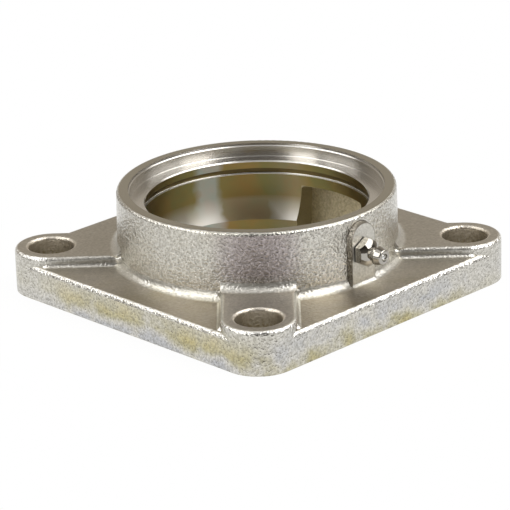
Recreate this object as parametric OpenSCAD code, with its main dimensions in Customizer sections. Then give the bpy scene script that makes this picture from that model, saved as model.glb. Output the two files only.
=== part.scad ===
// Square flange bearing housing with its grease nipple, as it is supplied without an insert bearing.
// The origin is the centre of the flat back face, +Z runs out along the bore and the nipple faces -Y.

/* [Flange] */
// Side length of the square flange
flange_side = 127.5; // [122:0.5:134]
// Radius of the flange's corners, which is also half the width of a bolt pad
corner_r = 12.75; // [11:0.25:14]
// Diameter of a bolt hole
bolt_hole_d = 16; // [10:0.5:18]
// Thickness of the flange between its bolt pads
plate_thickness = 12.1; // [9:0.1:16]
// Height of a bolt pad above the flange
pad_rise = 3.5; // [2:0.1:6]
// Rounding of the straight top edges of the flange
flange_round = 1.9; // [0.5:0.1:2.5]
// Rounding of the top edges of a bolt pad
pad_round = 1.5; // [0.5:0.1:2]
// Fillet where a pad rises from the flange
pad_fillet = 1.6; // [0.4:0.1:2]
// Upright fillet between the side of a pad and the hub
root_fillet = 3.4; // [1:0.1:4]
// Rounding of the mouth of a bolt hole
hole_round = 1.2; // [0.3:0.1:1.6]

/* [Hub] */
// Height of the rim above the back face
hub_height = 36; // [32:0.5:42]
// Wall of the rim beside the cover recess
rim_wall = 4.6; // [3.5:0.1:8]
// Draft of the outer wall of the hub, in degrees
hub_draft = 1.3; // [0:0.1:3]
// Rounding of the outer edge of the rim
rim_round = 1.3; // [0.5:0.1:3]
// Fillet at the foot of the hub
hub_fillet = 3.5; // [1:0.1:5]

/* [Bore] */
// Diameter of the spherical seat for the insert bearing
seat_d = 80; // [72:0.5:84]
// Height of the centre of the seat above the back face
seat_height = 21; // [19:0.5:23]
// Height of the lower edge of the seat
seat_low = 9; // [6:0.5:12]
// How far the cover recess is wider than the seat, on each side
recess_ledge = 4; // [2:0.1:6]
// Depth of the cover recess below the rim
recess_depth = 4.7; // [2.5:0.1:6]
// How far the mouth of the cover recess is wider than the recess, on each side
mouth_step = 0.35; // [0.1:0.05:0.8]
// Depth of the wider mouth, down to the chamfer that leads into the recess
mouth_depth = 0.7; // [0.3:0.1:1.2]
// How far the mouth flares from its foot up to the rim, on each side
mouth_flare = 0.15; // [0.05:0.05:0.4]
// Fillet between the wall and the ledge of the cover recess
recess_fillet = 0.3; // [0.1:0.05:0.6]
// Chamfer at the inner edge of the ledge
ledge_chamfer = 0.5; // [0.2:0.1:1]
// Distance from the cover recess down to the turned groove in the seat
groove_drop = 3.1; // [2:0.1:4.5]
// Width of the turned groove
groove_width = 2.1; // [1:0.1:3]
// How far the groove reaches outside the seat's radius
groove_depth = 0.5; // [0.2:0.1:1.5]
// How far the bore widens from the lower edge of the seat to the back face, on each side
back_flare = 1.6; // [0.5:0.1:3]

/* [Loading slots] */
// How far the floor of a slot lies outside the seat's radius
slot_depth = 2.8; // [1:0.1:4]
// Height of the ceiling of a slot above the back face
slot_ceiling = 22; // [18:0.1:25]
// Width of a slot at its ceiling
slot_top_width = 29; // [24:0.5:32]
// Draft of the side walls of a slot, in degrees
slot_draft = 3.5; // [0:0.5:12]
// Rounding between the ceiling and the side walls of a slot
slot_round = 1.6; // [0.5:0.1:5]

/* [Grease boss] */
// Width of the flat face of the boss
boss_width = 11.2; // [10.4:0.1:14]
// How far the flat face stands out from the rim's outer radius
boss_rise = 1.9; // [1:0.1:4]
// Distance from the top of the boss to the top of the rim
boss_drop = 2.2; // [1.5:0.1:5]
// Draft of the sides of the boss, in degrees
boss_draft = 9; // [2:1:25]

/* [Grease nipple] */
// Height of the nipple's axis above the back face
nipple_height = 23.8; // [21:0.1:26]
// Outer diameter of the nipple's thread
thread_d = 8; // [6.5:0.1:8.4]
// Length of the threaded shank
thread_length = 6; // [4:0.1:7]
// Clearance around the shank in its tapped hole
thread_clearance = 0.05; // [0.02:0.01:0.2]
// Depth of the tapped hole beyond the end of the shank
thread_runout = 1; // [0.5:0.1:1.5]
// Diameter of the grease duct from the tapped hole to the seat
duct_d = 3.4; // [2:0.1:5]
// Width of the hexagon across its flats
hex_width = 9; // [8.5:0.1:10]
// Height of the corners of the hexagon above the boss
hex_corner_height = 2.2; // [1.5:0.1:3]
// Height at which the domed shoulder meets the neck
shoulder_height = 4.6; // [4:0.1:5.2]
// Diameter of the neck
neck_d = 4.7; // [4.4:0.1:5.4]
// Height at which the head starts to widen from the neck
head_start = 5.6; // [5.3:0.1:6]
// Diameter of the head
head_d = 6.5; // [6:0.1:7.5]
// Length of the straight band of the head
head_band = 0.7; // [0.3:0.1:1.2]
// Diameter of the tip
tip_d = 5.4; // [4.8:0.1:5.8]
// Rounding of the rim of the tip
tip_round = 0.6; // [0.2:0.1:0.8]
// How far the nipple stands out from the boss
nipple_reach = 9.6; // [9:0.1:11]

/* [Check valve] */
// Diameter of the check ball
ball_d = 2.5; // [2.4:0.05:2.7]
// Diameter of the orifice that the ball closes
orifice_d = 2.1; // [1.6:0.05:2.2]
// Widening of the orifice towards the tip, on each side
orifice_flare = 0.3; // [0.1:0.05:0.5]
// Depth of the ball's sealing edge below the tip
lip_depth = 0.8; // [0.6:0.05:1.2]
// Gap between the resting ball and its sealing edge
ball_gap = 0.05; // [0.02:0.01:0.1]
// How far the ball is pushed in by a grease gun
ball_travel = 1.2; // [0.6:0.1:1.6]
// Clearance around the ball in its chamber
chamber_clearance = 0.25; // [0.15:0.05:0.4]
// Room left between the turns of the spring when the ball is fully pushed in
spring_spare = 1.2; // [0.4:0.1:1.6]
// Diameter of the spring wire
wire_d = 0.32; // [0.2:0.02:0.4]
// Clearance of the spring inside its chamber
spring_clearance = 0.3; // [0.2:0.05:0.4]
// Number of turns of the spring
spring_turns = 7; // [5:1:9]
// Diameter of the grease channel behind the chamber
channel_d = 1.8; // [1.2:0.1:2]

/* [Hidden] */
$fn = 96;
// Overlap that carries a cut past the face it opens
cut = 1;
// How deep a fillet or rounding bites into the face that it runs out on
bite = 0.05;

bolt_spacing = flange_side - 2 * corner_r;
pad_height = plate_thickness + pad_rise;
bolt_reach = bolt_spacing / sqrt(2);
bolt_r = bolt_hole_d / 2;

seat_r = seat_d / 2;
recess_r = seat_r + recess_ledge;
ledge_height = hub_height - recess_depth;
rim_r = recess_r + rim_wall;
seat_low_r = sqrt(pow(seat_r, 2) - pow(seat_height - seat_low, 2));
groove_top = ledge_height - groove_drop;

boss_face = rim_r + boss_rise;
boss_r = boss_width / 2;
arch_height = hub_height - boss_drop - boss_r;

hex_r = hex_width / sqrt(3);
neck_r = neck_d / 2;
head_r = head_d / 2;
tip_r = tip_d / 2;
thread_r = thread_d / 2;

ball_r = ball_d / 2;
orifice_r = orifice_d / 2;
chamber_r = ball_r + chamber_clearance;
lip_height = nipple_reach - lip_depth;
ball_rest = lip_height - sqrt(pow(ball_r, 2) - pow(orifice_r, 2)) - ball_gap;
wire_r = wire_d / 2;
coil_r = chamber_r - spring_clearance - wire_r;
spring_length = spring_turns * wire_d + ball_travel + spring_spare;
coil_end = ball_rest - sqrt(pow(ball_r + wire_r + ball_gap, 2) - pow(coil_r, 2));
chamber_floor = coil_end - spring_length;

cast_steel = "#b8b0a3";
bright_steel = "#cfcdc8";
spring_steel = "#8d8f92";

// Radius of the drafted hub wall at a height
function hub_r(height) = rim_r + (hub_height - rim_round - height) * tan(hub_draft);

// Half width of a slot at a height
function slot_half(height) = slot_top_width / 2 + (slot_ceiling - height) * tan(slot_draft);

// Places its children on the nipple's axis, with +Z running out from the face of the boss
module on_nipple_axis() {
    translate([0, -boss_face, nipple_height])
        rotate([90, 0, 0])
            children();
}

// Turns its children to each of the four corners, with +X running out along the diagonal
module at_each_corner() {
    for (turn = [45:90:315])
        rotate(turn)
            children();
}

// Section across a bolt pad, with rounded top edges
module pad_profile() {
    inner = corner_r - pad_round;
    translate([-corner_r, 0])
        square([2 * corner_r, pad_height - pad_round]);
    translate([-inner, 0])
        square([2 * inner, pad_height]);
    for (side = [-1, 1])
        translate([side * inner, pad_height - pad_round])
            circle(pad_round);
}

// Section of the fillet at the foot of a pad's wall
module pad_fillet_profile() {
    inset = pad_fillet - bite;
    difference() {
        translate([corner_r - pad_round, plate_thickness - cut])
            square([pad_round + inset, inset + cut]);
        translate([corner_r + inset, plate_thickness + inset])
            circle(pad_fillet);
    }
}

// The square plate with its straight top edges rounded
module flange_plate() {
    half = flange_side / 2;
    reach = bolt_spacing / 2;
    difference() {
        linear_extrude(plate_thickness)
            polygon([
                for (turn = [0:90:270], end = [-1, 1])
                    [half * cos(turn) - end * reach * sin(turn), half * sin(turn) + end * reach * cos(turn)]
            ]);
        for (turn = [0:90:270])
            rotate(turn)
                translate([half, 0, plate_thickness])
                    rotate([90, 0, 0])
                        linear_extrude(flange_side, center = true)
                            edge_cutter();
    }
}

// Section of the cut that rounds an edge whose corner is at the origin
module edge_cutter() {
    inset = flange_round - bite;
    difference() {
        translate([-inset, -inset])
            square(inset + cut);
        translate([-inset, -inset])
            circle(flange_round);
    }
}

// The raised pad of one bolt, from its round end to the wall of the hub
module bolt_pad() {
    translate([bolt_reach, 0, 0])
        rotate_extrude()
            intersection() {
                pad_profile();
                square([corner_r + cut, pad_height + cut]);
            }
    along_pad()
        pad_profile();
    for (side = [0, 1])
        mirror([0, side, 0]) {
            along_pad()
                pad_fillet_profile();
            intersection() {
                translate([bolt_reach, 0, 0])
                    rotate(45)
                        rotate_extrude(angle = 45)
                            pad_fillet_profile();
                below_run_out();
            }
            pad_flare();
        }
    pad_root();
}

// Room below a slope that rises inwards from a rounded edge of the flange, where a pad's fillet runs out
module below_run_out() {
    rotate(45)
        translate([flange_side / 2 - flange_round - 2 * bite, 0, plate_thickness])
            rotate([0, -45, 0])
                translate([-flange_side, -flange_side / 2, -flange_side / 2])
                    cube(flange_side);
}

// Carries a section along the pad's straight part
module along_pad() {
    translate([seat_r, 0, 0])
        rotate([90, 0, 90])
            linear_extrude(bolt_reach - seat_r)
                children();
}

// The upright fillet between one side of a pad and the hub, with the pad's rounded top edge
module pad_flare() {
    inset = root_fillet - bite;
    wall_r = hub_r(pad_height);
    inner = wall_r - cut;
    side = corner_r + inset;
    out = sqrt(pow(wall_r + inset, 2) - pow(side, 2));
    flat = corner_r - pad_round - cut;
    share = inner / (wall_r + inset);
    difference() {
        translate([0, 0, plate_thickness - cut])
            linear_extrude(pad_rise + cut)
                polygon([
                    [out, flat],
                    [out, side],
                    [out * share, side * share],
                    [sqrt(pow(inner, 2) - pow(flat, 2)), flat]
                ]);
        translate([out, side, 0])
            rotate_extrude()
                flare_cutter();
    }
}

// Section of the round cut that leaves an upright fillet under a rounded edge
module flare_cutter() {
    edge_height = pad_height - pad_round;
    square([root_fillet, pad_height + cut]);
    difference() {
        translate([0, edge_height])
            square([root_fillet + pad_round, pad_round + cut]);
        translate([root_fillet + pad_round, edge_height])
            circle(pad_round);
    }
}

// The fillet between the top of a pad and the hub
module pad_root() {
    inset = hub_fillet - bite;
    foot_r = hub_r(pad_height + inset) + inset;
    foot_half = corner_r - pad_round;
    intersection() {
        rotate_extrude()
            difference() {
                translate([recess_r, pad_height - cut])
                    square([foot_r - recess_r, inset + cut]);
                translate([foot_r, pad_height + inset])
                    circle(hub_fillet);
            }
        linear_extrude(hub_height)
            polygon([
                [0, corner_r],
                [rim_r, corner_r],
                [foot_r + cut, foot_half],
                [foot_r + cut, -foot_half],
                [rim_r, -corner_r],
                [0, -corner_r]
            ]);
    }
}

// Section of the hub's outside with its rounded rim and a fillet at a given floor
module hub_profile(floor_height) {
    fillet_height = floor_height + hub_fillet - bite;
    foot_r = hub_r(fillet_height) + hub_fillet;
    difference() {
        union() {
            polygon([
                [0, 0],
                [foot_r, 0],
                [foot_r, fillet_height],
                [hub_r(fillet_height), fillet_height],
                [rim_r, hub_height - rim_round],
                [rim_r - rim_round, hub_height],
                [0, hub_height]
            ]);
            translate([rim_r - rim_round, hub_height - rim_round])
                circle(rim_round);
        }
        translate([foot_r, fillet_height])
            circle(hub_fillet);
    }
}

// The raised land that carries the nipple
module grease_boss() {
    depth = boss_face - seat_r - recess_ledge;
    spread = depth * tan(boss_draft);
    on_nipple_axis() {
        translate([0, arch_height - nipple_height, -depth])
            cylinder(h = depth, r1 = boss_r + spread, r2 = boss_r);
        rotate([90, 0, 0])
            translate([0, 0, nipple_height - arch_height])
                linear_extrude(arch_height - plate_thickness + cut)
                    polygon([
                        [-boss_r, 0],
                        [-boss_r - spread, -depth],
                        [boss_r + spread, -depth],
                        [boss_r, 0]
                    ]);
    }
}

// Section of the cover recess: flared mouth, straight wall, fillet at its foot and chamfered ledge
module recess_profile() {
    inset = recess_fillet - bite;
    mouth_foot = hub_height - mouth_depth;
    edge_r = sqrt(pow(seat_r, 2) - pow(ledge_height - seat_height, 2));
    polygon([
        [0, ledge_height - ledge_chamfer],
        [edge_r, ledge_height - ledge_chamfer],
        [edge_r + ledge_chamfer, ledge_height],
        [recess_r - inset, ledge_height],
        [recess_r - inset, ledge_height + inset],
        [recess_r, ledge_height + inset],
        [recess_r, mouth_foot - mouth_step],
        [recess_r + mouth_step, mouth_foot],
        [recess_r + mouth_step + mouth_flare * (1 + cut / mouth_depth), hub_height + cut],
        [0, hub_height + cut]
    ]);
    intersection() {
        translate([recess_r - recess_fillet, ledge_height + inset])
            circle(recess_fillet);
        translate([recess_r - recess_fillet, ledge_height])
            square([recess_fillet, recess_fillet]);
    }
}

// Everything that is turned out of the middle
module bore() {
    flare_slope = back_flare / seat_low;
    rotate_extrude() {
        recess_profile();
        intersection() {
            translate([0, seat_height])
                circle(seat_r);
            translate([0, seat_low])
                square([seat_r, ledge_height - seat_low + cut]);
        }
        translate([0, groove_top - groove_width])
            square([seat_r + groove_depth, groove_width]);
        polygon([
            [0, -cut],
            [seat_low_r + back_flare + cut * flare_slope, -cut],
            [seat_low_r, seat_low],
            [0, seat_low + cut]
        ]);
    }
}

// Section across a loading slot: drafted side walls and rounded corners at the ceiling
module slot_profile() {
    inset = slot_round - bite;
    round_height = slot_ceiling - inset;
    round_half = slot_half(round_height) - inset / cos(slot_draft);
    intersection() {
        slot_walls(slot_ceiling);
        union() {
            slot_walls(round_height);
            translate([-round_half, 0])
                square([2 * round_half, slot_ceiling]);
            for (side = [-1, 1])
                translate([side * round_half, round_height])
                    circle(slot_round);
        }
    }
}

// Drafted outline of a loading slot up to a height
module slot_walls(height) {
    foot = slot_half(-cut);
    polygon([
        [-foot, -cut],
        [foot, -cut],
        [slot_half(height), height],
        [-slot_half(height), height]
    ]);
}

// The two slots that let the insert in sideways
module loading_slots() {
    rotate([90, 0, 90])
        linear_extrude(2 * (seat_r + slot_depth), center = true)
            slot_profile();
}

// One bolt hole with a rounded mouth
module bolt_hole() {
    mouth = hole_round - bite;
    rotate_extrude()
        difference() {
            union() {
                translate([0, -cut])
                    square([bolt_r, pad_height + 2 * cut]);
                translate([0, pad_height - mouth])
                    square([bolt_r + mouth, mouth + cut]);
            }
            translate([bolt_r + mouth, pad_height - mouth])
                circle(hole_round);
        }
}

// The tapped hole for the nipple and the duct behind it
module nipple_bore() {
    on_nipple_axis() {
        depth = thread_length + thread_runout;
        translate([0, 0, -depth])
            cylinder(h = depth + cut, r = thread_r + thread_clearance);
        translate([0, 0, -boss_face + seat_r / 2])
            cylinder(h = boss_face - seat_r / 2 - depth + cut, d = duct_d);
    }
}

// The stainless casting with its machined bore
module housing() {
    color(cast_steel)
        difference() {
            union() {
                flange_plate();
                at_each_corner()
                    bolt_pad();
                rotate_extrude()
                    hub_profile(plate_thickness);
                grease_boss();
            }
            bore();
            loading_slots();
            at_each_corner()
                translate([bolt_reach, 0, 0])
                    bolt_hole();
            nipple_bore();
        }
}

// Hexagon whose front is turned to a dome that runs from its corners to the neck
module nipple_hexagon() {
    rise = shoulder_height - hex_corner_height;
    centre = (pow(hex_corner_height, 2) + pow(hex_r, 2) - pow(shoulder_height, 2) - pow(neck_r, 2)) / (-2 * rise);
    dome_r = sqrt(pow(hex_r, 2) + pow(hex_corner_height - centre, 2));
    intersection() {
        rotate(30)
            cylinder(h = shoulder_height, r = hex_r, $fn = 6);
        translate([0, 0, centre])
            sphere(dome_r);
    }
}

// Turned outside of the nipple from the end of its thread to its tip
module nipple_profile() {
    head_full = head_start + head_r - neck_r;
    lead = thread_r - thread_d / 10;
    polygon([
        [0, -thread_length],
        [lead, -thread_length],
        [thread_r, -thread_length + thread_r - lead],
        [thread_r, hex_corner_height / 2],
        [neck_r, hex_corner_height / 2],
        [neck_r, head_start],
        [head_r, head_full],
        [head_r, head_full + head_band],
        [tip_r, nipple_reach - tip_round],
        [tip_r - tip_round, nipple_reach],
        [0, nipple_reach]
    ]);
    translate([tip_r - tip_round, nipple_reach - tip_round])
        circle(tip_round);
}

// Grease way through the nipple: channel, valve chamber, sealing edge and flared orifice
module nipple_channel() {
    polygon([
        [0, -thread_length - cut],
        [channel_d / 2, -thread_length - cut],
        [channel_d / 2, chamber_floor],
        [chamber_r, chamber_floor],
        [chamber_r, lip_height - chamber_r + orifice_r],
        [orifice_r, lip_height],
        [orifice_r + orifice_flare, nipple_reach],
        [orifice_r + orifice_flare, nipple_reach + cut],
        [0, nipple_reach + cut]
    ]);
}

// Screwed nipple with its hexagon and coupling head
module grease_nipple() {
    color(bright_steel)
        on_nipple_axis()
            difference() {
                union() {
                    nipple_hexagon();
                    rotate_extrude()
                        nipple_profile();
                }
                rotate_extrude()
                    nipple_channel();
            }
}

// Ball that closes the orifice from inside
module check_ball() {
    color(bright_steel)
        on_nipple_axis()
            translate([0, 0, ball_rest])
                sphere(ball_r);
}

// Coil of round wire between the chamber floor and the ball
module check_spring() {
    sides = 8;
    rings_per_turn = 14;
    rings = spring_turns * rings_per_turn;
    low = chamber_floor + wire_r;
    pitch = (coil_end - low) / spring_turns;
    lean = atan2(pitch, 2 * PI * coil_r);
    points = [
        for (ring = [0:rings], side = [0:sides - 1])
            let (
                turn = 360 * ring / rings_per_turn,
                around = 360 * side / sides,
                out = coil_r + wire_r * cos(around),
                back = wire_r * sin(around) * sin(lean),
                up = low + pitch * turn / 360 + wire_r * sin(around) * cos(lean)
            )
            [out * cos(turn) + back * sin(turn), out * sin(turn) - back * cos(turn), up]
    ];
    walls = [
        for (ring = [0:rings - 1], side = [0:sides - 1])
            let (next = (side + 1) % sides)
            [
                ring * sides + side,
                (ring + 1) * sides + side,
                (ring + 1) * sides + next,
                ring * sides + next
            ]
    ];
    first_cap = [for (side = [0:sides - 1]) side];
    last_cap = [for (side = [sides - 1:-1:0]) rings * sides + side];
    color(spring_steel)
        on_nipple_axis()
            polyhedron(points, concat(walls, [first_cap, last_cap]));
}

housing();
grease_nipple();
check_ball();
check_spring();
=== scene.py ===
"""Looks of a square flange bearing housing: cast and turned stainless steel on a pale studio floor."""

import math

import bmesh
import bpy
from mathutils import Matrix, Vector


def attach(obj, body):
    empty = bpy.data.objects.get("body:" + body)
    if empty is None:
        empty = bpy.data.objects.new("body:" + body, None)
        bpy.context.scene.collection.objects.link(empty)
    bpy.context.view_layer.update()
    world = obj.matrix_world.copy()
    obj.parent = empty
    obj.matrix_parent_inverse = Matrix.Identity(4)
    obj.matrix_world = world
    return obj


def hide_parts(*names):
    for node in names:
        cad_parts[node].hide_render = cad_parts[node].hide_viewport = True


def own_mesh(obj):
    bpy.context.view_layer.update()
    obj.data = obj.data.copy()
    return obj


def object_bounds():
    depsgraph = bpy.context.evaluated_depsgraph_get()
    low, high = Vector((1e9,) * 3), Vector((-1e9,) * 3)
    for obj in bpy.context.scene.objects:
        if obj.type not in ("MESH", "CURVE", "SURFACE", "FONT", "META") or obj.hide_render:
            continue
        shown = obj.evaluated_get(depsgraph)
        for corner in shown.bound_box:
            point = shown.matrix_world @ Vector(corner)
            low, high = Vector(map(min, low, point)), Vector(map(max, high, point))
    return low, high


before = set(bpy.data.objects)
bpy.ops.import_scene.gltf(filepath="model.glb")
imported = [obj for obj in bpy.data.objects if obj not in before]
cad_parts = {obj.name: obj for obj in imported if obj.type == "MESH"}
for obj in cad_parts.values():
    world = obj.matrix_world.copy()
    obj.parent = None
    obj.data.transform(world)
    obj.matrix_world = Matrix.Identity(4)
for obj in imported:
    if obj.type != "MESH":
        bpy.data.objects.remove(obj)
cad_low, cad_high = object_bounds()

MM = 0.001

# Sizes of the part that its finishes follow, in millimetres
RIM_HEIGHT = cad_high.z / MM
RECESS_MOUTH_R = 44.5
BORE_TOP = 30.75
GROOVE_MIDDLE = 27.15
GROOVE_WIDTH = 2.1
GROOVE_LIP = GROOVE_MIDDLE - GROOVE_WIDTH / 2
GROOVE_LIP_HALF = 0.15
SEAT_FOOT = 9.0
SLOT_MIDDLE = 38
SLOT_REACH = 5
SLOT_CEILING = 22.0
SLOT_TOP_HALF = 14.5
SLOT_SLOPE = math.tan(math.radians(3.5))
BOLT_SPACING = 102
BOLT_HOLE_R = 8.2
BOLT_MOUTH_R = 9.2
PLATE_HEIGHT = 12.1
PAD_WALLS_R = 74
HUB_FOOT_FULL = PLATE_HEIGHT + 2.4
HUB_FOOT_END = PLATE_HEIGHT + 4.9
HUB_WALL_HEIGHT = 20
BOSS_FACE_Y = -50.5
BOSS_BACK_Y = BOSS_FACE_Y + 4
BOSS_R = 5.6
BOSS_WALL_R = BOSS_R + 0.2
BOSS_WALL_HALF = 0.35
BOSS_WALL_FOOT = PLATE_HEIGHT + 0.5
BOSS_ARCH_HEIGHT = 28.2
BOSS_FILLET = 1.2
BOSS_FILLET_MARGIN = 0.1
# How far past its edge a face still counts
EDGE_MARGIN = 0.06

# Widths and depths of the patterns, in millimetres; the blasted grain and the turned rings are finer on a
# real casting and are drawn this coarse so that they show
GRAIN_WIDTH = 0.9
GRAIN_DEPTH = 0.43
WAVE_WIDTH = 9
WAVE_DEPTH = 0.3
RING_WIDTH = 0.7
RING_DEPTH = 0.01
SIDE_REFLECTION_WIDTH = 13
REFLECTION_DRIFT_WIDTH = 7

# Where the cast skin is shaded, in millimetres: heights, and places as X plus Y, lowest at the front corner
HOLE_DARK_HEIGHT = 9.5
HOLE_LIGHT_HEIGHT = 14.5
SIDE_REFLECTION_SWAP_START = 1
SIDE_REFLECTION_SWAP_END = 6
SIDE_REFLECTION_FULL_HEIGHT = 5
SIDE_REFLECTION_FAINT_HEIGHT = 14
SIDE_REFLECTION_FULL_PLACE = -45
SIDE_REFLECTION_FAINT_PLACE = -18
PLATE_DARK_FULL_HEIGHT = PLATE_HEIGHT + 0.3
PLATE_DARK_END_HEIGHT = PLATE_HEIGHT + 1.3
PLATE_DARK_FULL_PLACE = -72
PLATE_DARK_END_PLACE = -40
HUB_SHADE_START = PLATE_HEIGHT + 4
HUB_SHADE_FULL = PLATE_HEIGHT + 9
# The way that the hub's side with the painted shade faces
HUB_SHADE_SIDE = (-0.707, -0.707, 0)

# Painted reflections on the seat, with heights in millimetres
REFLECTION_GONE_HEIGHT = 10
REFLECTION_FULL_HEIGHT = 18
PALE_REFLECTION = "#aeb1b5"
OLIVE_REFLECTION = "#8b835c"
BROWN_REFLECTION = "#96855a"
# Each run's angle in degrees from +X towards +Y, its colour, and the share of it that reaches the seat's foot
SEAT_REFLECTION_RUNS = (
    (0, OLIVE_REFLECTION, 0),
    (18, OLIVE_REFLECTION, 0),
    (25, "#8f8970", 0),
    (31, "#8c866c", 0),
    (40, OLIVE_REFLECTION, 0.8),
    (48, BROWN_REFLECTION, 0.8),
    (62, BROWN_REFLECTION, 0.8),
    (66.5, PALE_REFLECTION, 0),
    (75, PALE_REFLECTION, 0),
    (80, OLIVE_REFLECTION, 0),
    (130, BROWN_REFLECTION, 0),
    (180, OLIVE_REFLECTION, 0),
)

# The nipple, with its axis towards -Y, and its check spring, in millimetres
NIPPLE_AXIS_HEIGHT = 23.8
# Where the painted shade at the hexagon's foot begins
NIPPLE_SHADE_Y = BOSS_FACE_Y - 0.4
SPRING_FOOT_Y = -52.907
SPRING_LENGTH = 4.64
SPRING_COIL_R = 1.04
SPRING_WIRE_R = 0.16
SPRING_WIRE_SIDES = 10
SPRING_TURNS = 7
SPRING_TURN_STEPS = 24

# The floor, in millimetres
FLOOR_HALF = 8000
FLOOR_DROP = 0.05
FLOOR_SHADOW_R = 40
FLOOR_PALE_R = 60
FLOOR_WHITE_R = 110

# Light of the room in front of the part and behind it, as linear colours
ROOM_FRONT = (0.05, 0.044, 0.04, 1)
ROOM_BACK = (0.52, 0.475, 0.413, 1)

# The camera, in millimetres and degrees
CAMERA_TARGET = Vector((0, 0, 18))
CAMERA_AZIMUTH = -44.625
CAMERA_ELEVATION = 20.486
CAMERA_ROLL = 1.656
CAMERA_DISTANCE = 1037.04
CAMERA_LENS = 210.09
CAMERA_SENSOR = 36
# Where the middle of the picture lies from the target, to the right and up
PICTURE_OFFSET = (-0.93, -7.68)


def linear(hex_colour):
    """Linear RGBA of an sRGB hex colour."""
    channels = [int(hex_colour[start:start + 2], 16) / 255 for start in (1, 3, 5)]
    return [c / 12.92 if c <= 0.04045 else ((c + 0.055) / 1.055) ** 2.4 for c in channels] + [1.0]


def grey(share):
    """A grey that a colour ramp gives as a share."""
    return (share, share, share, 1)


def add_node(tree, kind, inputs=None, stops=(), **settings):
    """Adds a node with settings, links and colour stops; a node as an input means its first output."""
    node = tree.nodes.new(kind)
    for name, value in settings.items():
        setattr(node, name, value)
    for socket, value in (inputs or {}).items():
        if isinstance(value, bpy.types.Node):
            value = value.outputs[0]
        if isinstance(value, bpy.types.NodeSocket):
            tree.links.new(value, node.inputs[socket])
        else:
            node.inputs[socket].default_value = value
    # A new ramp already has its first and last stop
    for position, _ in stops[1:-1]:
        node.color_ramp.elements.new(position)
    for index, (position, colour) in enumerate(stops):
        node.color_ramp.elements[index].position = position
        node.color_ramp.elements[index].color = colour
    return node


def new_material(name):
    """An empty material and its node tree."""
    material = bpy.data.materials.new(name)
    material.use_nodes = True
    material.node_tree.nodes.clear()
    return material, material.node_tree


def per_metre(size):
    """Texture scale for a pattern whose grains are size millimetres wide."""
    return 1 / (size * MM)


def dress(node, material):
    """Gives a CAD node its material."""
    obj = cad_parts[node]
    obj.data.materials.clear()
    obj.data.materials.append(material)


def axis_distance(tree, place):
    """Distance of a place from the upright axis through its origin."""
    flat = add_node(tree, "ShaderNodeVectorMath", {0: place, 1: (1, 1, 0)}, operation="MULTIPLY")
    return add_node(tree, "ShaderNodeVectorMath", {0: flat}, operation="LENGTH").outputs["Value"]


def diagonal_place(tree, place):
    """X plus Y of a place: lowest at the flange's front corner, 0 at the bore's axis."""
    along = add_node(tree, "ShaderNodeVectorMath", {0: place, 1: (1, 1, 0)}, operation="DOT_PRODUCT")
    return along.outputs["Value"]


def turned_faces(tree, place, axes, slots):
    """1 on the faces that were turned: the bore apart from its slots, the rim's flat and the back face."""
    bore = add_node(
        tree,
        "ShaderNodeMath",
        {0: axis_distance(tree, place), 1: (RECESS_MOUTH_R + EDGE_MARGIN) * MM},
        operation="LESS_THAN",
    )
    off_slots = add_node(tree, "ShaderNodeMath", {0: bore, 1: slots}, operation="SUBTRACT", use_clamp=True)
    rim = rim_flat(tree, axes)
    back = add_node(tree, "ShaderNodeMath", {0: axes["Z"], 1: EDGE_MARGIN * MM}, operation="LESS_THAN")
    faced = add_node(tree, "ShaderNodeMath", {0: rim, 1: back}, operation="MAXIMUM")
    return add_node(tree, "ShaderNodeMath", {0: off_slots, 1: faced}, operation="MAXIMUM")


def rim_flat(tree, axes):
    """1 on the flat of the hub's rim."""
    edge = (RIM_HEIGHT - EDGE_MARGIN) * MM
    return add_node(tree, "ShaderNodeMath", {0: axes["Z"], 1: edge}, operation="GREATER_THAN")


def loading_slots(tree, axes):
    """1 inside the two loading slots, whose walls stay as cast."""
    ceiling = (SLOT_CEILING + EDGE_MARGIN) * MM
    top_half = (SLOT_TOP_HALF + EDGE_MARGIN) * MM
    drop = add_node(tree, "ShaderNodeMath", {0: ceiling, 1: axes["Z"]}, operation="SUBTRACT")
    half = add_node(tree, "ShaderNodeMath", {0: drop, 1: SLOT_SLOPE, 2: top_half}, operation="MULTIPLY_ADD")
    side = add_node(tree, "ShaderNodeMath", {0: axes["Y"]}, operation="ABSOLUTE")
    between = add_node(tree, "ShaderNodeMath", {0: side, 1: half}, operation="LESS_THAN")
    below = add_node(tree, "ShaderNodeMath", {0: drop, 1: 0.0}, operation="GREATER_THAN")
    out = add_node(tree, "ShaderNodeMath", {0: axes["X"]}, operation="ABSOLUTE")
    cut = add_node(
        tree, "ShaderNodeMath", {0: out, 1: SLOT_MIDDLE * MM, 2: SLOT_REACH * MM}, operation="COMPARE"
    )
    within = add_node(tree, "ShaderNodeMath", {0: between, 1: below}, operation="MULTIPLY")
    return add_node(tree, "ShaderNodeMath", {0: within, 1: cut}, operation="MULTIPLY")


def bolt_holes(tree, place):
    """1 inside the four bolt holes, fading out over their rounded mouths."""
    # The four corners are folded onto one
    folded = add_node(tree, "ShaderNodeVectorMath", {0: place}, operation="ABSOLUTE")
    middle = (BOLT_SPACING / 2 * MM, BOLT_SPACING / 2 * MM, 0)
    centred = add_node(tree, "ShaderNodeVectorMath", {0: folded, 1: middle}, operation="SUBTRACT")
    return add_node(
        tree,
        "ShaderNodeMapRange",
        {
            "Value": axis_distance(tree, centred),
            "From Min": BOLT_HOLE_R * MM,
            "From Max": BOLT_MOUTH_R * MM,
            "To Min": 1.0,
            "To Max": 0.0,
        },
    )


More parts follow.
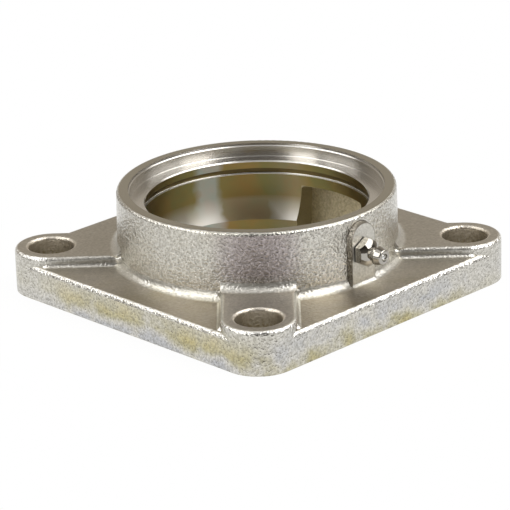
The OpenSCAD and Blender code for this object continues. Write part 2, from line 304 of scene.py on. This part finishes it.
def boss_side_shade(tree, axes):
    """Where the side walls of the grease boss are, and the painted shade on them: darkest along both edges.
    """
    above = add_node(tree, "ShaderNodeMath", {0: axes["Z"], 1: BOSS_ARCH_HEIGHT * MM}, operation="SUBTRACT")
    arch = add_node(tree, "ShaderNodeMath", {0: above, 1: 0.0}, operation="MAXIMUM")
    across = add_node(tree, "ShaderNodeCombineXYZ", {"X": axes["X"], "Z": arch})
    away = add_node(tree, "ShaderNodeVectorMath", {0: across}, operation="LENGTH").outputs["Value"]
    wall = add_node(
        tree, "ShaderNodeMath", {0: away, 1: BOSS_WALL_R * MM, 2: BOSS_WALL_HALF * MM}, operation="COMPARE"
    )
    front = add_node(tree, "ShaderNodeMath", {0: axes["Y"], 1: BOSS_BACK_Y * MM}, operation="LESS_THAN")
    raised = add_node(
        tree, "ShaderNodeMath", {0: axes["Z"], 1: BOSS_WALL_FOOT * MM}, operation="GREATER_THAN"
    )
    upright = add_node(tree, "ShaderNodeMath", {0: wall, 1: front}, operation="MULTIPLY")
    sides = add_node(tree, "ShaderNodeMath", {0: upright, 1: raised}, operation="MULTIPLY")
    depth = add_node(
        tree,
        "ShaderNodeMapRange",
        {
            "Value": away,
            "From Min": (BOSS_WALL_R - BOSS_WALL_HALF) * MM,
            "From Max": (BOSS_WALL_R + BOSS_WALL_HALF) * MM,
        },
    )
    tone = add_node(
        tree,
        "ShaderNodeValToRGB",
        {0: depth},
        stops=(
            (0.1, linear("#7c766b")),
            (0.35, linear("#a29c91")),
            (0.6, linear("#a29c91")),
            (0.85, linear("#67615a")),
        ),
    )
    return sides, tone


def boss_foot(tree, axes):
    """Height of a small fillet at the foot of the boss's face, in metres."""
    out = add_node(
        tree, "ShaderNodeMath", {0: BOSS_FACE_Y * MM, 1: axes["Y"]}, operation="SUBTRACT", use_clamp=True
    )
    up = add_node(
        tree, "ShaderNodeMath", {0: axes["Z"], 1: PLATE_HEIGHT * MM}, operation="SUBTRACT", use_clamp=True
    )
    away = add_node(tree, "ShaderNodeMath", {0: out, 1: up}, operation="ADD")
    rise = add_node(
        tree,
        "ShaderNodeMapRange",
        {"Value": away, "From Max": BOSS_FILLET * MM, "To Min": BOSS_FILLET * MM, "To Max": 0.0},
    )
    # The square of the rise flattens out like the fillet's arc
    arc = add_node(tree, "ShaderNodeMath", {0: rise, 1: rise}, operation="MULTIPLY")
    height = add_node(tree, "ShaderNodeMath", {0: arc, 1: BOSS_FILLET * MM}, operation="DIVIDE")
    side = add_node(tree, "ShaderNodeMath", {0: axes["X"]}, operation="ABSOLUTE")
    across = add_node(tree, "ShaderNodeMath", {0: side, 1: BOSS_R * MM}, operation="LESS_THAN")
    behind = (BOSS_FACE_Y + BOSS_FILLET_MARGIN) * MM
    front = add_node(tree, "ShaderNodeMath", {0: axes["Y"], 1: behind}, operation="LESS_THAN")
    near = add_node(tree, "ShaderNodeMath", {0: across, 1: front}, operation="MULTIPLY")
    return add_node(tree, "ShaderNodeMath", {0: height, 1: near}, operation="MULTIPLY")


def boss_front(tree, axes, facing):
    """1 on the flat face of the grease boss, which the nipple's hexagon rests on."""
    level = add_node(
        tree, "ShaderNodeMath", {0: axes["Y"], 1: BOSS_FACE_Y * MM, 2: EDGE_MARGIN * MM}, operation="COMPARE"
    )
    front = add_node(tree, "ShaderNodeMath", {0: facing["Y"], 1: -0.99}, operation="LESS_THAN")
    return add_node(tree, "ShaderNodeMath", {0: level, 1: front}, operation="MULTIPLY")


def hub_foot(tree, place, axes, facing):
    """1 near the hub on the plate, the pads and the hollows above them, fading out up the hub's wall."""
    radius = axis_distance(tree, place)
    plate = (PLATE_HEIGHT - EDGE_MARGIN) * MM
    near = add_node(tree, "ShaderNodeMath", {0: radius, 1: PAD_WALLS_R * MM}, operation="LESS_THAN")
    raised = add_node(tree, "ShaderNodeMath", {0: axes["Z"], 1: plate}, operation="GREATER_THAN")
    on_plate = add_node(tree, "ShaderNodeMath", {0: near, 1: raised}, operation="MULTIPLY")
    low = add_node(
        tree,
        "ShaderNodeMapRange",
        {
            "Value": axes["Z"],
            "From Min": HUB_FOOT_FULL * MM,
            "From Max": HUB_FOOT_END * MM,
            "To Min": 1.0,
            "To Max": 0.0,
        },
    )
    # The hollows above the pads lie higher and lean back
    leaning = add_node(
        tree, "ShaderNodeMapRange", {"Value": facing["Z"], "From Min": 0.08, "From Max": 0.3}
    )
    below = add_node(tree, "ShaderNodeMath", {0: axes["Z"], 1: HUB_WALL_HEIGHT * MM}, operation="LESS_THAN")
    hollow = add_node(tree, "ShaderNodeMath", {0: leaning, 1: below}, operation="MULTIPLY")
    soft = add_node(tree, "ShaderNodeMath", {0: low, 1: hollow}, operation="MAXIMUM")
    return add_node(tree, "ShaderNodeMath", {0: on_plate, 1: soft}, operation="MULTIPLY")


def cast_relief(tree, place, axes, facing, foot, sheltered):
    """Normal of the blasted surface, with the grain on it and how much of that grain each place keeps."""
    waves = add_node(
        tree, "ShaderNodeTexNoise", {"Vector": place, "Scale": per_metre(WAVE_WIDTH), "Detail": 2}
    )
    wave_bump = add_node(
        tree, "ShaderNodeBump", {"Height": waves, "Strength": 1.0, "Distance": WAVE_DEPTH * MM}
    )
    # The grain is lower on the flats that look up, about the hub's foot and in sheltered places
    kept = add_node(
        tree,
        "ShaderNodeMapRange",
        {"Value": facing["Z"], "From Min": 0.8, "From Max": 0.995, "To Min": 1.0, "To Max": 0.4},
        interpolation_type="SMOOTHSTEP",
    )
    for mask in (foot, sheltered):
        share = add_node(tree, "ShaderNodeMapRange", {"Value": mask, "To Min": 1.0, "To Max": 0.5})
        kept = add_node(tree, "ShaderNodeMath", {0: kept, 1: share}, operation="MINIMUM")
    grain = add_node(
        tree,
        "ShaderNodeTexNoise",
        {"Vector": place, "Scale": per_metre(GRAIN_WIDTH), "Detail": 1.8, "Roughness": 0.55},
    )
    grain_bump = add_node(
        tree,
        "ShaderNodeBump",
        {"Height": grain, "Strength": kept, "Distance": GRAIN_DEPTH * MM, "Normal": wave_bump},
    )
    fillet_bump = add_node(
        tree,
        "ShaderNodeBump",
        {"Height": boss_foot(tree, axes), "Strength": 1.0, "Distance": 1.0, "Normal": grain_bump},
    )
    return fillet_bump, grain, kept


def painted_side_reflections(tree, place, axes, facing):
    """Strength and tint of faint painted reflections low on the sides: straw on one, blue on the next,
    swapped below.
    """
    patches = add_node(
        tree,
        "ShaderNodeTexNoise",
        {"Vector": place, "Scale": per_metre(SIDE_REFLECTION_WIDTH), "Detail": 5, "Roughness": 0.6},
    )
    calm_patches = add_node(tree, "ShaderNodeMapRange", {"Value": patches, "To Min": 0.12, "To Max": 0.88})
    side = add_node(
        tree, "ShaderNodeMath", {0: facing["Y"], 1: -0.6, 2: facing["X"]}, operation="MULTIPLY_ADD"
    )
    swapped = add_node(
        tree,
        "ShaderNodeMapRange",
        {
            "Value": axes["Z"],
            "From Min": SIDE_REFLECTION_SWAP_START * MM,
            "From Max": SIDE_REFLECTION_SWAP_END * MM,
            "To Min": -0.11,
            "To Max": 0.14,
        },
    )
    leaning = add_node(
        tree, "ShaderNodeMath", {0: side, 1: swapped, 2: calm_patches}, operation="MULTIPLY_ADD"
    )
    tint = add_node(
        tree,
        "ShaderNodeValToRGB",
        {0: leaning},
        stops=(
            (0.26, linear("#ecdf9e")),
            (0.4, linear("#e1dcba")),
            (0.53, linear("#ffffff")),
            (0.64, linear("#e6eaf6")),
        ),
    )
    by_height = add_node(
        tree,
        "ShaderNodeMapRange",
        {
            "Value": axes["Z"],
            "From Min": SIDE_REFLECTION_FULL_HEIGHT * MM,
            "From Max": SIDE_REFLECTION_FAINT_HEIGHT * MM,
            "To Min": 0.9,
            "To Max": 0.08,
        },
    )
    # The painted reflections gather about the front corner
    by_corner = add_node(
        tree,
        "ShaderNodeMapRange",
        {
            "Value": diagonal_place(tree, place),
            "From Min": SIDE_REFLECTION_FULL_PLACE * MM,
            "From Max": SIDE_REFLECTION_FAINT_PLACE * MM,
            "To Min": 1.0,
            "To Max": 0.2,
        },
    )
    strength = add_node(tree, "ShaderNodeMath", {0: by_height, 1: by_corner}, operation="MULTIPLY")
    return strength, tint


def hub_front_shade(tree, axes, facing):
    """Where the hub's wall is painted with a faint violet shade: a broad upright band above the front corner.
    """
    normal = add_node(tree, "ShaderNodeCombineXYZ", {"X": facing["X"], "Y": facing["Y"]})
    towards = add_node(tree, "ShaderNodeVectorMath", {0: normal, 1: HUB_SHADE_SIDE}, operation="DOT_PRODUCT")
    band = add_node(
        tree,
        "ShaderNodeMapRange",
        {"Value": towards.outputs["Value"], "From Min": 0.935, "From Max": 1.0},
        interpolation_type="SMOOTHSTEP",
    )
    raised = add_node(
        tree,
        "ShaderNodeMapRange",
        {"Value": axes["Z"], "From Min": HUB_SHADE_START * MM, "From Max": HUB_SHADE_FULL * MM},
    )
    return add_node(tree, "ShaderNodeMath", {0: band, 1: raised}, operation="MULTIPLY")


def edge_highlights(tree, axes, facing, foot):
    """Where the flange's rounded edges are painted bright as highlights, not the hub or the hollows at its
    foot.
    """
    edges = add_node(
        tree,
        "ShaderNodeValToRGB",
        {0: facing["Z"]},
        stops=((0.1, grey(0)), (0.4, grey(0.6)), (0.85, grey(0.6)), (0.98, grey(0))),
    )
    hub = add_node(tree, "ShaderNodeMath", {0: axes["Z"], 1: HUB_WALL_HEIGHT * MM}, operation="GREATER_THAN")
    hub_and_foot = add_node(tree, "ShaderNodeMath", {0: hub, 1: foot}, operation="MAXIMUM")
    return add_node(tree, "ShaderNodeMath", {0: edges, 1: hub_and_foot}, operation="SUBTRACT", use_clamp=True)


def plate_darkening(tree, place, axes, level):
    """Where the plate's flats are drawn darker: beside the front corner's pad, fading along both sides of the
    flange.
    """
    corner = add_node(
        tree,
        "ShaderNodeMapRange",
        {
            "Value": diagonal_place(tree, place),
            "From Min": PLATE_DARK_FULL_PLACE * MM,
            "From Max": PLATE_DARK_END_PLACE * MM,
            "To Min": 1.0,
            "To Max": 0.0,
        },
    )
    low = add_node(
        tree,
        "ShaderNodeMapRange",
        {
            "Value": axes["Z"],
            "From Min": PLATE_DARK_FULL_HEIGHT * MM,
            "From Max": PLATE_DARK_END_HEIGHT * MM,
            "To Min": 1.0,
            "To Max": 0.0,
        },
    )
    flat = add_node(tree, "ShaderNodeMath", {0: low, 1: level}, operation="MULTIPLY")
    return add_node(tree, "ShaderNodeMath", {0: corner, 1: flat}, operation="MULTIPLY")


def slot_tone_and_shade(tree, facing, grain):
    """Colour of the loading slots: speckled, with painted shade that darkens the walls that face sideways."""
    sideways = add_node(tree, "ShaderNodeMath", {0: facing["Y"]}, operation="ABSOLUTE")
    speckled = add_node(
        tree,
        "ShaderNodeMapRange",
        {"Value": grain, "From Min": 0.3, "From Max": 0.65, "To Min": 0.6, "To Max": 0.0},
    )
    shaded = add_node(tree, "ShaderNodeMath", {0: sideways, 1: speckled}, operation="ADD", use_clamp=True)
    tone = add_node(
        tree,
        "ShaderNodeMix",
        {"Factor": shaded, "A": linear("#d0c5a8"), "B": linear("#968d71")},
        data_type="RGBA",
    )
    return tone.outputs["Result"]


def hole_tone_and_shade(tree, axes, grain):
    """Colour of the bolt holes: patchy, with painted shade that darkens them away from their mouths."""
    depth = add_node(
        tree,
        "ShaderNodeMapRange",
        {
            "Value": axes["Z"],
            "From Min": HOLE_DARK_HEIGHT * MM,
            "From Max": HOLE_LIGHT_HEIGHT * MM,
            "To Min": -0.35,
            "To Max": 0.45,
        },
    )
    patchy = add_node(tree, "ShaderNodeMath", {0: depth, 1: grain}, operation="ADD", use_clamp=True)
    tone = add_node(
        tree,
        "ShaderNodeMix",
        {"Factor": patchy, "A": linear("#8a7f66"), "B": linear("#dcd4c6")},
        data_type="RGBA",
    )
    return tone.outputs["Result"]


def cast_gloss(tree, facing, foot, sheltered):
    """Roughness of the cast skin: walls and edges gleam most, then the hub's foot, then flats and shelter."""
    open_gloss = add_node(
        tree,
        "ShaderNodeMapRange",
        {"Value": facing["Z"], "From Min": 0.7, "From Max": 0.97, "To Min": 0.24, "To Max": 0.43},
    )
    foot_gloss = add_node(tree, "ShaderNodeMapRange", {"Value": foot, "To Min": 0.0, "To Max": 0.36})
    outer = add_node(tree, "ShaderNodeMath", {0: open_gloss, 1: foot_gloss}, operation="MAXIMUM")
    gloss = add_node(tree, "ShaderNodeMix", {"Factor": sheltered, "A": outer, "B": 0.42}, data_type="FLOAT")
    return gloss.outputs["Result"]


def cast_skin(tree, place, axes, facing, slots):
    """The blasted cast surface: orange-peel grain, painted reflections, shade and highlights, and darker
    holes and slots.
    """
    holes = bolt_holes(tree, place)
    inside = add_node(tree, "ShaderNodeMath", {0: holes, 1: slots}, operation="MAXIMUM")
    boss = boss_front(tree, axes, facing)
    sheltered = add_node(tree, "ShaderNodeMath", {0: inside, 1: boss}, operation="MAXIMUM")
    foot = hub_foot(tree, place, axes, facing)
    normal, grain, kept = cast_relief(tree, place, axes, facing, foot, sheltered)
    speckle = add_node(tree, "ShaderNodeMix", {"Factor": kept, "A": 0.5, "B": grain}, data_type="FLOAT")
    colour = add_node(
        tree,
        "ShaderNodeValToRGB",
        {0: speckle.outputs["Result"]},
        stops=((0.38, linear("#bab7ae")), (0.62, linear("#dcd9d1"))),
    )
    # Painted shade: flats that look up are drawn darker
    level = add_node(
        tree,
        "ShaderNodeMapRange",
        {"Value": facing["Z"], "From Min": 0.9, "From Max": 0.99},
        interpolation_type="SMOOTHSTEP",
    )
    # Each layer: where it lies, its colour and how it is laid on those below
    layers = (
        # Painted reflections low on the sides
        (*painted_side_reflections(tree, place, axes, facing), "MULTIPLY"),
        # Painted violet shade on the hub's front
        (hub_front_shade(tree, axes, facing), linear("#e0d9e1"), "MULTIPLY"),
        # Painted highlights on the flange's rounded edges
        (edge_highlights(tree, axes, facing, foot), linear("#f6f4ef"), "MIX"),
        # Painted shade on the flats that look up
        (level, linear("#e8e4df"), "MULTIPLY"),
        # The plate's flats drawn darker beside the front corner
        (plate_darkening(tree, place, axes, level), linear("#e4dfd8"), "MULTIPLY"),
        # The bolt holes' tone, with painted shade deeper in
        (holes, hole_tone_and_shade(tree, axes, grain), "MIX"),
        # The slots' tone, with painted shade on their side walls
        (slots, slot_tone_and_shade(tree, facing, grain), "MIX"),
        # Painted shade on the boss's side walls
        (*boss_side_shade(tree, axes), "MIX"),
    )
    for mask, tone, blend in layers:
        colour = add_node(
            tree,
            "ShaderNodeMix",
            {"Factor": mask, "A": colour, "B": tone},
            data_type="RGBA",
            blend_type=blend,
        ).outputs["Result"]
    gloss = cast_gloss(tree, facing, foot, sheltered)
    return add_node(
        tree,
        "ShaderNodeBsdfPrincipled",
        {"Base Color": colour, "Metallic": 1.0, "Roughness": gloss, "Normal": normal},
    )


def seat_painted_reflection(tree, place, axes):
    """Where reflections are painted on the seat, and their mottled colour: upright runs, alike on both halves
    of the bore.
    """
    turn = add_node(tree, "ShaderNodeTexGradient", {0: place}, gradient_type="RADIAL")
    halves = add_node(tree, "ShaderNodeMath", {0: turn.outputs["Fac"], 1: 2.0}, operation="MULTIPLY")
    half_turn = add_node(tree, "ShaderNodeMath", {0: halves}, operation="FRACT")
    drift = add_node(
        tree, "ShaderNodeTexNoise", {"Vector": place, "Scale": per_metre(REFLECTION_DRIFT_WIDTH), "Detail": 2}
    )
    wander = add_node(tree, "ShaderNodeMapRange", {"Value": drift, "To Min": -0.025, "To Max": 0.025})
    wavy = add_node(tree, "ShaderNodeMath", {0: half_turn, 1: wander}, operation="ADD")
    runs = [(angle / 180, linear(colour)[:3] + [reach]) for angle, colour, reach in SEAT_REFLECTION_RUNS]
    reflection_tint = add_node(tree, "ShaderNodeValToRGB", {0: wavy}, stops=runs)
    mottle = add_node(
        tree,
        "ShaderNodeValToRGB",
        {0: drift},
        stops=((0.36, linear("#f0f5e4")), (0.64, linear("#fff0dc"))),
    )
    mottled = add_node(
        tree,
        "ShaderNodeMix",
        {"Factor": 1.0, "A": reflection_tint, "B": mottle},
        data_type="RGBA",
        blend_type="MULTIPLY",
    )
    # The painted reflection thins out down the seat, apart from the runs that reach its foot, and stands
    # again in the flare below
    thinned = add_node(
        tree,
        "ShaderNodeMapRange",
        {"Value": axes["Z"], "From Min": REFLECTION_GONE_HEIGHT * MM, "From Max": REFLECTION_FULL_HEIGHT * MM},
    )
    flare = add_node(tree, "ShaderNodeMath", {0: axes["Z"], 1: SEAT_FOOT * MM}, operation="LESS_THAN")
    reaching = add_node(tree, "ShaderNodeMath", {0: thinned, 1: reflection_tint.outputs["Alpha"]}, operation="MAXIMUM")
    reflection_share = add_node(tree, "ShaderNodeMath", {0: reaching, 1: flare}, operation="MAXIMUM")
    return reflection_share, mottled.outputs["Result"]


def turned_skin(tree, place, axes):
    """Bright turned steel: rings about the bore draw reflections out upright; the seat's olive is painted
    reflection.
    """
    rings = add_node(
        tree,
        "ShaderNodeTexNoise",
        {"W": axes["Z"], "Scale": per_metre(RING_WIDTH), "Detail": 2},
        noise_dimensions="1D",
    )
    ring_bump = add_node(
        tree, "ShaderNodeBump", {"Height": rings, "Strength": 0.3, "Distance": RING_DEPTH * MM}
    )
    reflection_share, reflection_tint = seat_painted_reflection(tree, place, axes)
    below = add_node(tree, "ShaderNodeMath", {0: axes["Z"], 1: BORE_TOP * MM}, operation="LESS_THAN")
    reflection_mask = add_node(tree, "ShaderNodeMath", {0: reflection_share, 1: below}, operation="MULTIPLY")
    groove_shade = add_node(
        tree,
        "ShaderNodeMath",
        {0: axes["Z"], 1: GROOVE_MIDDLE * MM, 2: GROOVE_WIDTH / 2 * MM},
        operation="COMPARE",
    )
    lip_highlight = add_node(
        tree,
        "ShaderNodeMath",
        {0: axes["Z"], 1: GROOVE_LIP * MM, 2: GROOVE_LIP_HALF * MM},
        operation="COMPARE",
    )
    layers = (
        # Painted reflections on the seat
        (reflection_mask, reflection_tint),
        # Painted shade in the groove
        (groove_shade, linear("#6d6142")),
        # Painted highlight along the groove's lip
        (lip_highlight, linear("#f2f1ee")),
        # The rim's flat painted darker, as shade
        (rim_flat(tree, axes), linear("#aba698")),
    )
    colour = linear("#d3d0ca")
    for mask, tone in layers:
        colour = add_node(
            tree, "ShaderNodeMix", {"Factor": mask, "A": colour, "B": tone}, data_type="RGBA"
        ).outputs["Result"]
    gloss = add_node(tree, "ShaderNodeMapRange", {"Value": below, "To Min": 0.26, "To Max": 0.33})
    return add_node(
        tree,
        "ShaderNodeBsdfPrincipled",
        {
            "Base Color": colour,
            "Metallic": 1.0,
            "Roughness": gloss,
            "Anisotropic": 0.82,
            "Anisotropic Rotation": 0.25,
            "Normal": ring_bump,
        },
    )


def cast_stainless():
    """Investment-cast stainless steel: a blasted skin with a soft grainy gloss, turned bright in the bore."""
    material, tree = new_material("cast_stainless")
    coords = add_node(tree, "ShaderNodeTexCoord")
    place = coords.outputs["Object"]
    axes = add_node(tree, "ShaderNodeSeparateXYZ", {0: place}).outputs
    facing = add_node(tree, "ShaderNodeSeparateXYZ", {0: coords.outputs["Normal"]}).outputs
    slots = loading_slots(tree, axes)
    skin = cast_skin(tree, place, axes, facing, slots)
    bright = turned_skin(tree, place, axes)
    turned = turned_faces(tree, place, axes, slots)
    mixed = add_node(tree, "ShaderNodeMixShader", {0: turned, 1: skin, 2: bright})
    add_node(tree, "ShaderNodeOutputMaterial", {"Surface": mixed})
    return material


def polished_steel(name, colour, roughness, smear_width, foot=None):
    """Polished steel: sharp reflections that faint smears break up; painted shade may darken a nipple's foot.
    """
    material, tree = new_material(name)
    place = add_node(tree, "ShaderNodeTexCoord").outputs["Object"]
    smears = add_node(
        tree, "ShaderNodeTexNoise", {"Vector": place, "Scale": per_metre(smear_width), "Detail": 3}
    )
    gloss = add_node(
        tree, "ShaderNodeMapRange", {"Value": smears, "To Min": roughness * 0.7, "To Max": roughness * 1.3}
    )
    tone = linear(colour)
    if foot:
        # Painted shade stands in a near-black line about the hexagon's foot, where it meets the boss
        along = add_node(tree, "ShaderNodeSeparateXYZ", {0: place}).outputs["Y"]
        line = add_node(tree, "ShaderNodeMath", {0: along, 1: NIPPLE_SHADE_Y * MM}, operation="GREATER_THAN")
        tone = add_node(
            tree, "ShaderNodeMix", {"Factor": line, "A": tone, "B": linear(foot)}, data_type="RGBA"
        ).outputs["Result"]
    steel = add_node(
        tree, "ShaderNodeBsdfPrincipled", {"Base Color": tone, "Metallic": 1.0, "Roughness": gloss}
    )
    add_node(tree, "ShaderNodeOutputMaterial", {"Surface": steel})
    return material


def check_spring(material):
    """The coil of drawn wire behind the check ball."""
    bm = bmesh.new()
    bmesh.ops.create_circle(bm, segments=SPRING_WIRE_SIDES, radius=SPRING_WIRE_R * MM)
    bmesh.ops.rotate(bm, verts=bm.verts, matrix=Matrix.Rotation(math.pi / 2, 3, "X"))
    bmesh.ops.translate(bm, verts=bm.verts, vec=(SPRING_COIL_R * MM, 0, SPRING_WIRE_R * MM))
    steps = SPRING_TURNS * SPRING_TURN_STEPS
    rise = (SPRING_LENGTH - 2 * SPRING_WIRE_R) * MM / steps
    bmesh.ops.spin(
        bm,
        geom=bm.edges[:],
        cent=(0, 0, 0),
        axis=(0, 0, 1),
        dvec=(0, 0, rise),
        angle=2 * math.pi * SPRING_TURNS,
        steps=steps,
        use_merge=False,
    )
    bmesh.ops.holes_fill(bm, edges=[e for e in bm.edges if e.is_boundary], sides=0)
    to_foot = Matrix.Translation((0, SPRING_FOOT_Y * MM, NIPPLE_AXIS_HEIGHT * MM))
    to_axis = to_foot @ Matrix.Rotation(math.pi / 2, 4, "X")
    bmesh.ops.transform(bm, verts=bm.verts, matrix=to_axis)
    bmesh.ops.recalc_face_normals(bm, faces=bm.faces)
    for face in bm.faces:
        face.smooth = True
    mesh = bpy.data.meshes.new("spring_coil")
    bm.to_mesh(mesh)
    bm.free()
    coil = bpy.data.objects.new("spring_coil", mesh)
    bpy.context.scene.collection.objects.link(coil)
    mesh.materials.append(material)
    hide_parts("check_spring")
    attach(coil, "body")
    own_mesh(coil)


def pale_floor():
    """Matt white floor that shows as plain white, but keeps the soft shadow close to the part."""
    material, tree = new_material("pale_floor")
    paths = add_node(tree, "ShaderNodeLightPath").outputs
    shown = paths["Is Camera Ray"]
    for ray in ("Is Glossy Ray", "Is Transmission Ray"):
        shown = add_node(tree, "ShaderNodeMath", {0: shown, 1: paths[ray]}, operation="MAXIMUM")
    place = add_node(tree, "ShaderNodeTexCoord").outputs["Object"]
    out = add_node(tree, "ShaderNodeVectorMath", {0: place}, operation="LENGTH").outputs["Value"]
    open_floor = add_node(
        tree,
        "ShaderNodeValToRGB",
        {0: out},
        stops=(
            (FLOOR_SHADOW_R * MM, grey(0)),
            (FLOOR_PALE_R * MM, grey(0.94)),
            (FLOOR_WHITE_R * MM, grey(1)),
        ),
    )
    share = add_node(tree, "ShaderNodeMath", {0: shown, 1: open_floor}, operation="MULTIPLY")
    matt = add_node(tree, "ShaderNodeBsdfDiffuse", {"Color": linear("#f2f1ee")})
    white = add_node(tree, "ShaderNodeEmission", {"Color": linear("#ffffff"), "Strength": 1.0})
    mixed = add_node(tree, "ShaderNodeMixShader", {0: share, 1: matt, 2: white})
    add_node(tree, "ShaderNodeOutputMaterial", {"Surface": mixed})
    return material


def studio_floor():
    """A plain pale floor just below the part."""
    bm = bmesh.new()
    bmesh.ops.create_grid(bm, x_segments=1, y_segments=1, size=FLOOR_HALF * MM)
    bmesh.ops.translate(bm, verts=bm.verts, vec=(0, 0, -FLOOR_DROP * MM))
    mesh = bpy.data.meshes.new("floor")
    bm.to_mesh(mesh)
    bm.free()
    floor = bpy.data.objects.new("floor", mesh)
    bpy.context.scene.collection.objects.link(floor)
    mesh.materials.append(pale_floor())


def outward(azimuth, elevation):
    """Direction out from the part, with the azimuth from -Y towards +X; angles in degrees."""
    turn = math.radians(azimuth)
    rise = math.radians(elevation)
    return Vector((math.sin(turn) * math.cos(rise), -math.cos(turn) * math.cos(rise), math.sin(rise)))


def camera_axes():
    """The camera's right, up and back directions."""
    azimuth = math.radians(CAMERA_AZIMUTH)
    roll = math.radians(CAMERA_ROLL)
    back = outward(CAMERA_AZIMUTH, CAMERA_ELEVATION)
    level = Vector((math.cos(azimuth), math.sin(azimuth), 0))
    upright = back.cross(level)
    return (
        level * math.cos(roll) - upright * math.sin(roll),
        upright * math.cos(roll) + level * math.sin(roll),
        back,
    )


def studio_camera():
    """The camera at the photograph's viewing angle."""
    right, up, back = camera_axes()
    data = bpy.data.cameras.new("camera")
    data.lens = CAMERA_LENS
    data.sensor_width = CAMERA_SENSOR
    camera = bpy.data.objects.new("camera", data)
    bpy.context.scene.collection.objects.link(camera)
    location = CAMERA_TARGET + back * CAMERA_DISTANCE
    middle = CAMERA_TARGET + right * PICTURE_OFFSET[0] + up * PICTURE_OFFSET[1]
    away = (location - middle).normalized()
    across = (up.cross(away)).normalized()
    upward = away.cross(across)
    turn = Matrix((across, upward, away)).transposed().to_4x4()
    camera.matrix_world = Matrix.Translation(location * MM) @ turn
    bpy.context.scene.camera = camera


def softbox(name, turn, elevation, size, radiance):
    """A panel lamp a metre from the part, turned from the camera's side; sizes in metres and degrees."""
    back = outward(CAMERA_AZIMUTH + turn, elevation)
    data = bpy.data.lights.new(name, "AREA")
    data.shape = "RECTANGLE"
    data.size, data.size_y = size
    data.energy = radiance * math.pi * data.size * data.size_y
    lamp = bpy.data.objects.new(name, data)
    bpy.context.scene.collection.objects.link(lamp)
    lamp.location = back
    lamp.rotation_euler = back.to_track_quat("Z", "Y").to_euler()


def studio_world():
    """A warm grey room: bright behind the part, dark in front of it, with a faint glow low all round."""
    world = bpy.data.worlds.new("studio")
    bpy.context.scene.world = world
    world.use_nodes = True
    tree = world.node_tree
    tree.nodes.clear()
    direction = add_node(tree, "ShaderNodeTexCoord").outputs["Generated"]
    forward = -camera_axes()[2]
    depth = add_node(
        tree,
        "ShaderNodeVectorMath",
        {0: direction, 1: Vector((forward.x, forward.y, 0)).normalized()},
        operation="DOT_PRODUCT",
    ).outputs["Value"]
    level = add_node(tree, "ShaderNodeSeparateXYZ", {0: direction}).outputs["Z"]
    horizon = add_node(
        tree,
        "ShaderNodeMapRange",
        {"Value": level, "From Min": 0.2, "From Max": 0.5, "To Min": 0.15, "To Max": 0.0},
    )
    glow = add_node(tree, "ShaderNodeMath", {0: depth, 1: horizon}, operation="MAXIMUM")
    sky = add_node(tree, "ShaderNodeValToRGB", {0: glow}, stops=((0.0, ROOM_FRONT), (0.9, ROOM_BACK)))
    room = add_node(tree, "ShaderNodeBackground", {"Color": sky, "Strength": 1.0})
    add_node(tree, "ShaderNodeOutputWorld", {"Surface": room})


studio_camera()
studio_floor()
studio_world()
softbox("front_left_softbox", turn=-48, elevation=36, size=(0.4, 0.9), radiance=3.0)
softbox("left_softbox", turn=-93, elevation=46, size=(0.7, 0.65), radiance=2.6)
softbox("front_right_softbox", turn=61, elevation=46, size=(0.5, 0.8), radiance=4.4)
softbox("right_softbox", turn=102, elevation=46, size=(0.7, 0.65), radiance=2.8)
softbox("top_softbox", turn=0, elevation=85, size=(0.8, 0.5), radiance=0.9)

dress("housing", cast_stainless())
# The nipple's near-black foot is painted shade where its hexagon meets the boss
nipple_steel = polished_steel("turned_steel", "#aca8a0", roughness=0.09, smear_width=1.5, foot="#1c1a17")
dress("grease_nipple", nipple_steel)
dress("check_ball", polished_steel("polished_steel", "#e0e0de", roughness=0.06, smear_width=1.0))
check_spring(polished_steel("drawn_wire", "#a9abad", roughness=0.3, smear_width=0.4))

bpy.context.scene.view_settings.view_transform = "Standard"
